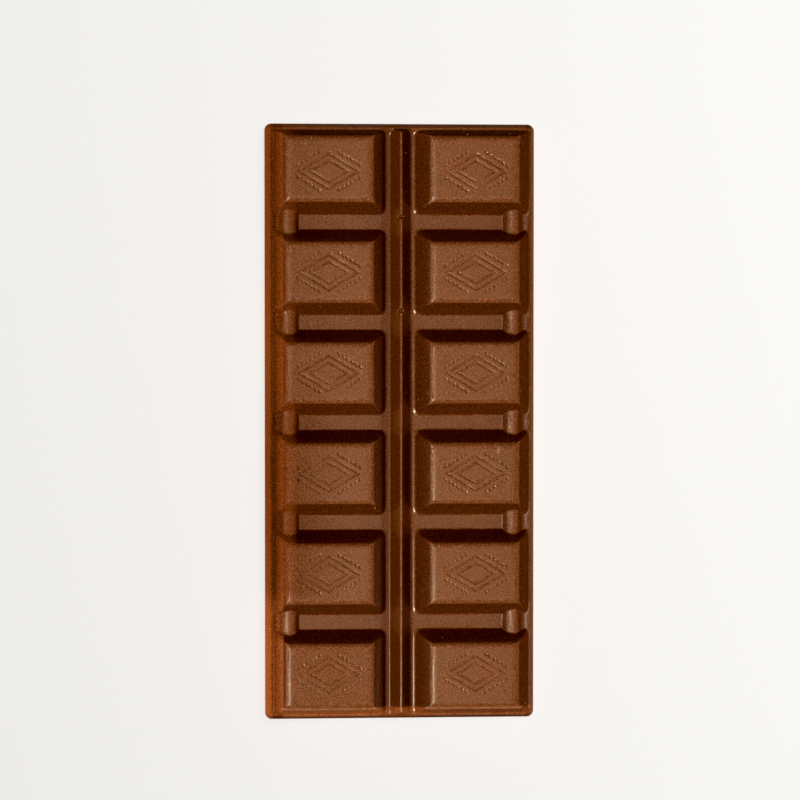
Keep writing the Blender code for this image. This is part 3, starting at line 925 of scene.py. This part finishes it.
class Wire:
    """A node's output that takes part in Python sums."""

    def __init__(self, desk, socket):
        self.desk = desk
        self.socket = socket

    def reckon(self, operation, first, second):
        """The output of a new Math node."""
        node = self.desk.node("ShaderNodeMath", {"operation": operation}, {0: first, 1: second})
        return self.desk.wire(node)

    def __add__(self, other):
        return self.reckon("ADD", self, other)

    def __radd__(self, other):
        return self.reckon("ADD", other, self)

    def __sub__(self, other):
        return self.reckon("SUBTRACT", self, other)

    def __rsub__(self, other):
        return self.reckon("SUBTRACT", other, self)

    def __mul__(self, other):
        return self.reckon("MULTIPLY", self, other)

    def __rmul__(self, other):
        return self.reckon("MULTIPLY", other, self)


class ShaderDesk:
    """Adds nodes to one material's tree."""

    def __init__(self, tree):
        self.tree = tree

    def node(self, kind, settings=None, sockets=None):
        """A node of that type: settings first, then its sockets' values or links."""
        made = self.tree.nodes.new(kind)
        for key, value in (settings or {}).items():
            setattr(made, key, value)
        for key, value in (sockets or {}).items():
            if isinstance(value, Wire):
                self.tree.links.new(value.socket, made.inputs[key])
            else:
                made.inputs[key].default_value = value
        return made

    def wire(self, node, output=0):
        """A node's output by its number or name."""
        return Wire(self, node.outputs[output])

    def coordinates(self, kind):
        """The object's own coordinates, or with Normal the way that its surface faces."""
        return self.wire(self.node("ShaderNodeTexCoord"), kind)

    def mix(self, share, first, second, blend="MIX"):
        """Colour between two colours, on the Mix node's colour sockets."""
        node = self.node("ShaderNodeMix", {"data_type": "RGBA", "blend_type": blend},
                         {0: share, 6: first, 7: second})
        return self.wire(node, 2)

    def noise(self, point, grain, detail=2.0, roughness=0.5):
        """Noise whose lumps are about grain metres wide."""
        node = self.node("ShaderNodeTexNoise", {"noise_dimensions": "3D"},
                         {"Vector": point, "Scale": 1.0 / grain, "Detail": detail,
                          "Roughness": roughness})
        return self.wire(node)

    def cloud(self, point, look):
        """Noise sharpened between two limits."""
        grain, detail, roughness, limits = look
        return self.ramp(self.noise(point, grain, detail, roughness), limits)

    def ramp(self, value, limits):
        """0 below the lower limit, 1 above the upper one, and a smooth rise between."""
        node = self.node("ShaderNodeMapRange", {"interpolation_type": "SMOOTHSTEP"},
                         {"Value": value, "From Min": limits[0], "From Max": limits[1]})
        return self.wire(node)

    def fall(self, value, limits):
        """1 below the lower limit, 0 above the upper one, and a smooth fall between."""
        return 1.0 - self.ramp(value, limits)

    def beyond(self, value, limits):
        """0 round the middle and 1 past the limits on both sides of it."""
        return self.ramp(value * value, [limit ** 2 for limit in limits])

    def show(self, shader, kind="ShaderNodeOutputMaterial"):
        """Makes that shader the one that is seen."""
        self.node(kind, None, {"Surface": self.wire(shader)})


def new_material(name):
    """An empty material and a desk for its nodes."""
    material = bpy.data.materials.new(name)
    material.use_nodes = True
    material.node_tree.nodes.clear()
    return material, ShaderDesk(material.node_tree)


def opaque(shade):
    """A colour with its alpha."""
    return (*shade, 1.0)


def any_of(*shares):
    """Share that at least one of several shares covers."""
    bare = 1.0 - shares[0]
    for share in shares[1:]:
        bare = bare * (1.0 - share)
    return 1.0 - bare


def survey(desk):
    """Place on the tablet and the way its surface faces, each as a wire."""
    point = desk.coordinates("Object")
    place = desk.node("ShaderNodeSeparateXYZ", None, {0: point})
    facing = desk.node("ShaderNodeSeparateXYZ", None, {0: desk.coordinates("Normal")})
    return SimpleNamespace(
        point=point,
        across=desk.wire(place, "X"),
        along=desk.wire(place, "Y"),
        height=desk.wire(place, "Z"),
        to_right=desk.wire(facing, "X"),
        to_top=desk.wire(facing, "Y"),
        level=desk.wire(facing, "Z"),
    )


def chocolate_zones(desk, at, share):
    """Zones that have their own finish, most of them places of painted light or shade, each as a
    wire between 0 and 1.
    """
    zone = SimpleNamespace()
    zone.moulded = desk.ramp(at.level, MOULDED_SIDE)
    zone.wall = desk.fall(at.height, WALL)
    zone.valley = desk.fall(at.height, VALLEY)
    zone.upper = desk.ramp(at.height, UPPER)
    zone.middle = 1.0 - desk.beyond(at.across, MIDDLE)
    zone.trough = zone.valley * zone.middle * desk.fall(at.across, TROUGH_SIDE)
    zone.left_rim = desk.fall(at.across, LEFT_RIM)
    zone.left_flank = desk.fall(at.across, LEFT_FLANK)
    zone.right_wall = desk.ramp(at.across, RIGHT_WALL)
    zone.rim = any_of(zone.right_wall, desk.beyond(at.along, END_RIM))
    # The rubbed zone: the left column above the last row, less in the upper rows; matt, and with
    # painted shade.
    rubbed = desk.fall(at.across, RUBBED_SIDE) * desk.ramp(at.along, RUBBED_ROWS)
    zone.rubbed = rubbed * (1.0 - share.upper_rubbed * desk.ramp(at.along, LESS_RUBBED))
    # Painted warm light and painted shade at the rubbed faces' left edges.
    warm_and_shaded_edge = zone.rubbed * desk.fall(at.across, LEFT_FACE_EDGE)
    zone.warm_and_shaded_edge = warm_and_shaded_edge * share.warm_and_shaded_edge
    return zone


def plain_colour(desk, at, finish, share):
    """Warm and cool patches, a fine mottle and pale dots of milk solids."""
    tint = desk.mix(desk.cloud(at.point, PATCHES) * share.ruddy,
                    opaque(finish.base), opaque(finish.ruddy))
    tint = desk.mix(desk.cloud(at.point, DRIFTS) * share.olive, tint, opaque(finish.olive))
    tint = desk.mix(desk.cloud(at.point, MOTTLE) * share.mottle, tint, opaque(finish.pale))
    cells = desk.node("ShaderNodeTexVoronoi", {"feature": "F1"},
                      {"Vector": at.point, "Scale": 1.0 / DOT_PITCH})
    dots = desk.fall(desk.wire(cells), DOT_EDGE)
    return desk.mix(dots * share.dots, tint, opaque(finish.pale))


def flank_colour(desk, at, zone, plain, finish, share):
    """Plain on the faces, and painted shade on the steep flanks, deepest where they face away
    from the light.
    """
    fresh_and_shaded = opaque(finish.fresh_and_shaded)
    # Painted shade: steep sides, valleys and the named zones take the darker Fresh chocolate
    # colour.
    facing_up = desk.ramp(at.level + UPPER_TOLERANCE * zone.upper, FACES_UP)
    facing_up = any_of(facing_up, share.plain_tops * desk.ramp(at.height, TOP))
    facing_up = facing_up * (1.0 - share.painted_shade_right_faces * desk.ramp(at.across, RIGHT_FACES))
    facing_up = facing_up * (1.0 - share.painted_shade_valleys * zone.valley)
    facing_up = facing_up * (1.0 - share.painted_shade_left_faces * zone.rubbed)
    skin = desk.mix(facing_up, fresh_and_shaded, plain)
    # Painted light: the lighter rim colour on the right wall and on both ends' walls and lips.
    skin = desk.mix(zone.rim, skin, opaque(finish.rim))
    # Painted shade on the right lip's inner side.
    inner_lip = desk.ramp(at.across, INNER_LIP) * (1.0 - zone.right_wall)
    skin = desk.mix(inner_lip * share.painted_shade_right_lip, skin, fresh_and_shaded)
    # Painted shade, deep on the flanks that face right or towards the top, away from the light.
    away = desk.ramp(at.to_right, FACES_AWAY) * desk.fall(at.across, SHADED_SIDE)
    away = any_of(away * share.painted_shade_right_flanks, share.painted_shade_top_flanks * desk.ramp(at.to_top, FACES_AWAY))
    return desk.mix(away * (1.0 - zone.rim), skin, opaque(finish.deep))


def paint_warm_light(desk, at, zone, skin, finish, share):
    """Painted warm light: amber on the left wall and flanks and at the lower end, fading into
    painted shade near the top.
    """
    unlit = 1.0 - zone.left_flank * share.painted_light_flanks - zone.left_rim * share.painted_light_rim
    unlit = unlit * (1.0 - zone.warm_and_shaded_edge)
    at_end = share.painted_light_end - share.painted_light_end_loss * desk.ramp(at.across, END_AMBER)
    lit = 1.0 - unlit * (1.0 - at_end * desk.fall(at.along, BOTTOM_FLANK))
    tint = desk.mix(desk.ramp(at.along, BRIGHT_AMBER), opaque(finish.bright_amber),
                    opaque(finish.amber))
    tint = desk.mix(share.painted_light_fade * desk.ramp(at.along, PAINTED_LIGHT_FADE), tint,
                    opaque(finish.fresh_and_shaded))
    return desk.mix(lit, skin, tint)


def paint_shade_and_highlight(desk, at, zone, skin, finish, share):
    """Painted shade in creases and on crests, and a painted highlight along the last row's lower
    edges.
    """
    # Painted shade: the darker Fresh chocolate colour on the left lip's crest, at the rubbed
    # faces' left edges, at the left flanks' feet, in the left lip's crease and on the lower end's
    # wall.
    crest = (zone.left_rim * desk.ramp(at.level, LIP_CREST) * share.painted_shade_left_crest
             + zone.warm_and_shaded_edge * share.painted_shade_left_edge)
    foot = (zone.left_flank * desk.fall(at.height, FLANK_FOOT) * (1.0 - zone.left_rim)
            * share.painted_shade_flank_foot)
    crease = (desk.ramp(at.across, LIP_CREASE_START) * desk.fall(at.across, LIP_CREASE_END)
              * share.painted_shade_lip_crease)
    lower_end = desk.fall(at.along, BOTTOM_RIM) * share.painted_shade_lower_end
    skin = desk.mix(crest + foot + crease + lower_end, skin, opaque(finish.fresh_and_shaded))
    # Painted highlight: pale colour along the last row's lower edges.
    worn = (desk.ramp(at.along, EDGE_HIGHLIGHT_START) * desk.fall(at.along, EDGE_HIGHLIGHT_END)
            * zone.upper)
    return desk.mix(worn * share.painted_highlight_edge, skin, opaque(finish.pale))


def matt_share(desk, at, zone, share):
    """Share of the surface that mirrors nothing."""
    worn_row = (desk.fall(at.along, WORN_ROW) * desk.fall(at.across, WORN_SIDE)
                * desk.ramp(at.level, WORN_FACE) * zone.upper)
    matt = any_of(share.matt_flanks * zone.left_flank, share.matt_rim * zone.left_rim,
                  share.matt_rubbed * zone.rubbed, share.matt_trough * zone.trough,
                  share.matt_row * worn_row)
    matt = any_of(matt, share.matt_right * desk.ramp(at.across, MATT_RIGHT))
    return matt * zone.moulded


def chocolate_roughness(desk, at, zone, finish, share):
    """Glossy on all that slopes, satin where the faces and valleys are level."""
    rubbed = (desk.ramp(at.level, RUBBED_FACE) * zone.upper
              + desk.ramp(at.level, RUBBED_VALLEY) * (1.0 - zone.upper))
    nub = (desk.ramp(at.height, NUB_START) * desk.fall(at.height, NUB_END)
           * desk.ramp(at.across, NUB_SIDE) * desk.ramp(at.level, NUB_CREST))
    roughness = finish.fresh_roughness + (finish.roughness - finish.fresh_roughness) * rubbed
    roughness = roughness * (1.0 - share.glossy_nubs * nub)
    roughness = finish.roughness + (roughness - finish.roughness) * zone.moulded
    smears = desk.noise(at.point, SMEAR_GRAIN) - NOISE_MEAN
    return roughness + finish.roughness_spread * smears


def chocolate_relief(desk, at, zone, grain, finish, share):
    """Fine grain over soft ripples, calmer on the ridge, in the valleys and on the walls."""
    peel = desk.node("ShaderNodeBump", None,
                     {"Strength": finish.peel_strength, "Distance": finish.peel_depth,
                      "Height": desk.noise(at.point, PEEL_GRAIN)})
    height = (grain * (1.0 - share.smooth_middle * zone.middle)
              * (1.0 - share.smooth_valleys * zone.valley)
              * (1.0 - share.smooth_walls * zone.wall))
    relief = desk.node("ShaderNodeBump", None,
                       {"Strength": finish.grain_strength, "Distance": finish.grain_depth,
                        "Height": height, "Normal": desk.wire(peel)})
    return desk.wire(relief)


def chocolate_material(finish, share):
    """Milk chocolate: a satin and a matt surface that share each zone's colour and grain, with
    light and shade painted into that colour.
    """
    material, desk = new_material("milk_chocolate")
    at = survey(desk)
    zone = chocolate_zones(desk, at, share)
    grain = desk.cloud(at.point, GRAIN)
    plain = plain_colour(desk, at, finish, share)
    skin = flank_colour(desk, at, zone, plain, finish, share)
    skin = paint_warm_light(desk, at, zone, skin, finish, share)
    skin = paint_shade_and_highlight(desk, at, zone, skin, finish, share)
    specks = desk.mix(grain, opaque(DARK_GRAIN), opaque(LIGHT_GRAIN))
    specks = desk.mix(share.plain_walls * zone.wall, specks, opaque(WALL_GRAIN))
    skin = desk.mix(1.0, skin, specks, "MULTIPLY")
    # Painted shade beside the ridge.
    skin = desk.mix(zone.trough * share.painted_shade_trough, skin, opaque(finish.fresh_and_shaded))
    skin = desk.mix(zone.moulded, plain, skin)
    roughness = chocolate_roughness(desk, at, zone, finish, share)
    relief = chocolate_relief(desk, at, zone, grain, finish, share)
    satin = desk.node("ShaderNodeBsdfPrincipled", None,
                      {"Base Color": skin, "Roughness": roughness, "Normal": relief,
                       **CHOCOLATE_OPTICS})
    matt = desk.node("ShaderNodeBsdfPrincipled", None,
                     {"Base Color": skin, "Roughness": finish.dull_roughness,
                      "Specular IOR Level": 0.0, "Normal": relief})
    both = desk.node("ShaderNodeMixShader", None,
                     {0: matt_share(desk, at, zone, share),
                      1: desk.wire(satin), 2: desk.wire(matt)})
    desk.show(both)
    return material


def crumb_material(finish):
    """Paler than the tablet, in patches."""
    material, desk = new_material("milk_chocolate_crumbs")
    patches = desk.cloud(desk.coordinates("Object"), CRUMB_PATCHES)
    tint = desk.mix(patches, opaque(finish.base), opaque(finish.pale))
    desk.show(desk.node("ShaderNodeBsdfPrincipled", None,
                        {"Base Color": tint, "Roughness": finish.roughness}))
    return material


def floor_material(shade):
    """Plain pale paper with the faintest clouds."""
    material, desk = new_material("pale_floor")
    cloud = desk.noise(desk.coordinates("Object"), FLOOR_CLOUD)
    tint = desk.mix(cloud * FLOOR_CLOUD_SHARE, opaque(shade), opaque(FLOOR_CLOUD_GREY))
    desk.show(desk.node("ShaderNodeBsdfPrincipled", None,
                        {"Base Color": tint, **FLOOR_FINISH}))
    return material


def add_piece(name, mesh, material):
    """Links a mesh as a named piece with its material."""
    piece = bpy.data.objects.new(name, mesh)
    bpy.context.scene.collection.objects.link(piece)
    mesh.materials.append(material)
    return piece


class CHOCOLATE_OT_mould_tablet(bpy.types.Operator):
    """Moulds the tablet with its pillows, rim, ridge, nubs and engraved ornament"""

    bl_idname = "chocolate.mould_tablet"
    bl_label = "Mould the Tablet"

    def execute(self, context):
        scene = context.scene
        size = millimetres(scene.chocolate_form)
        material = chocolate_material(scene.chocolate_finish, scene.chocolate_zones)
        tablet = add_piece("moulded_tablet", tablet_mesh(size), material)
        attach(tablet, BODY)
        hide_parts(NODE)
        return {"FINISHED"}


class CHOCOLATE_OT_scatter_crumbs(bpy.types.Operator):
    """Scatters tiny crumbs and a few flakes of chocolate over the moulded side"""

    bl_idname = "chocolate.scatter_crumbs"
    bl_label = "Scatter Crumbs"

    def execute(self, context):
        size = millimetres(context.scene.chocolate_form)
        material = crumb_material(context.scene.chocolate_finish)
        crumbs = add_piece("chocolate_crumbs", crumb_mesh(size), material)
        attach(crumbs, BODY)
        return {"FINISHED"}


def lay_floor(shade):
    """The pale floor, a hair below the tablet's back and not mirrored in the chocolate."""
    bm = bmesh.new()
    bmesh.ops.create_grid(bm, x_segments=FLOOR_SQUARES, y_segments=FLOOR_SQUARES,
                          size=FLOOR_REACH)
    mesh = bpy.data.meshes.new("floor")
    bm.to_mesh(mesh)
    bm.free()
    floor = add_piece("floor", mesh, floor_material(shade))
    floor.location.z = -FLOOR_DROP
    floor.visible_glossy = False
    return floor


def add_lamp(name, watts):
    """A rectangular soft light that looks at the tablet's middle."""
    place, (width, height), shade = LAMPS[name]
    light = bpy.data.lights.new(name, "AREA")
    light.shape = "RECTANGLE"
    light.size = width
    light.size_y = height
    light.energy = watts
    light.color = shade
    lamp = bpy.data.objects.new(name, light)
    lamp.location = place
    lamp.rotation_euler = (TABLET_MIDDLE - Vector(place)).to_track_quat("-Z", "Y").to_euler()
    bpy.context.scene.collection.objects.link(lamp)
    return lamp


def one_piece(name, piece, state):
    """A collection that links lamps with that piece alone, or with all but that piece."""
    collection = bpy.data.collections.new(name)
    collection.objects.link(piece)
    collection.collection_objects[0].light_linking.link_state = state
    return collection


def light_studio(studio, floor):
    """Seven lamps for the chocolate and two for the floor, so neither spoils the other."""
    for name in LAMPS:
        lamp = add_lamp(name, getattr(studio, name))
        lamp.visible_glossy = name not in UNMIRRORED_LAMPS
        lamp.visible_diffuse = name not in MIRRORED_ONLY_LAMPS
        state = "INCLUDE" if name in FLOOR_LAMPS else "EXCLUDE"
        lamp.light_linking.receiver_collection = one_piece(name + "_lights", floor, state)
        if name in FLOOR_SHADOW_LAMPS:
            casting = one_piece(name + "_shadows", floor, "INCLUDE")
            lamp.light_linking.blocker_collection = casting


def add_camera(studio):
    """Looks down on the tablet with its length upright in the picture."""
    backward = Vector((-studio.lean_left, studio.lean_up, 1.0)).normalized()
    upright = Vector((0.0, 1.0, 0.0))
    upright = (upright - upright.dot(backward) * backward).normalized()
    right = upright.cross(backward)
    turn = Matrix((right, upright, backward)).transposed().to_4x4()
    camera = bpy.data.cameras.new("camera")
    camera.sensor_width = SENSOR_WIDTH
    camera.lens = camera.sensor_width * studio.distance / studio.frame_width
    camera.clip_start = NEAREST_SEEN
    camera.clip_end = FURTHEST_SEEN
    view = bpy.data.objects.new("camera", camera)
    target = Vector((studio.aim_right, studio.aim_up, 0.0))
    view.matrix_world = Matrix.Translation(target + backward * studio.distance) @ turn
    bpy.context.scene.collection.objects.link(view)
    bpy.context.scene.camera = view


def set_world(strength):
    """Weak pale surroundings, bright where the camera looks straight at them."""
    world = bpy.data.worlds.new("studio")
    world.use_nodes = True
    world.node_tree.nodes.clear()
    desk = ShaderDesk(world.node_tree)
    seen = desk.wire(desk.node("ShaderNodeLightPath"), "Is Camera Ray")
    glow = desk.node("ShaderNodeBackground", None,
                     {"Color": opaque(SURROUNDINGS),
                      "Strength": strength + (1.0 - strength) * seen})
    desk.show(glow, "ShaderNodeOutputWorld")
    bpy.context.scene.world = world


def set_picture(scene, black):
    """Plain colours, with the deepest shadows pulled down to black."""
    settings = scene.view_settings
    settings.view_transform = "Standard"
    settings.use_curve_mapping = True
    settings.curve_mapping.black_level = (black, black, black)
    settings.curve_mapping.update()


class CHOCOLATE_OT_set_stage(bpy.types.Operator):
    """Lays the pale floor and sets up the soft studio lights and the camera"""

    bl_idname = "chocolate.set_stage"
    bl_label = "Set the Stage"

    def execute(self, context):
        studio = context.scene.chocolate_studio
        floor = lay_floor(studio.floor)
        light_studio(studio, floor)
        set_world(studio.world)
        add_camera(studio)
        set_picture(context.scene, studio.black)
        return {"FINISHED"}


OPERATORS = (CHOCOLATE_OT_mould_tablet, CHOCOLATE_OT_scatter_crumbs, CHOCOLATE_OT_set_stage)
GROUPS = {
    "chocolate_form": TabletForm,
    "chocolate_finish": ChocolateFinish,
    "chocolate_zones": ZoneShares,
    "chocolate_studio": StudioSetup,
}


class CHOCOLATE_PT_sidebar(bpy.types.Panel):
    """Sizes, finish and studio of the chocolate tablet"""

    bl_label = "Chocolate Tablet"
    bl_idname = "CHOCOLATE_PT_sidebar"
    bl_space_type = "VIEW_3D"
    bl_region_type = "UI"
    bl_category = "Chocolate"

    def draw(self, context):
        layout = self.layout
        for operator in OPERATORS:
            layout.operator(operator.bl_idname)
        for name, group in GROUPS.items():
            box = layout.box()
            for key in group.__annotations__:
                box.prop(getattr(context.scene, name), key)


def register():
    for group in GROUPS.values():
        bpy.utils.register_class(group)
    for name, group in GROUPS.items():
        setattr(bpy.types.Scene, name, PointerProperty(type=group))
    for operator in OPERATORS:
        bpy.utils.register_class(operator)
    bpy.utils.register_class(CHOCOLATE_PT_sidebar)


def unregister():
    bpy.utils.unregister_class(CHOCOLATE_PT_sidebar)
    for operator in reversed(OPERATORS):
        bpy.utils.unregister_class(operator)
    for name in GROUPS:
        delattr(bpy.types.Scene, name)
    for group in reversed(list(GROUPS.values())):
        bpy.utils.unregister_class(group)


def main():
    register()
    bpy.ops.chocolate.mould_tablet()
    bpy.ops.chocolate.scatter_crumbs()
    bpy.ops.chocolate.set_stage()
    bpy.context.view_layer.update()


if __name__ == "__main__":
    main()
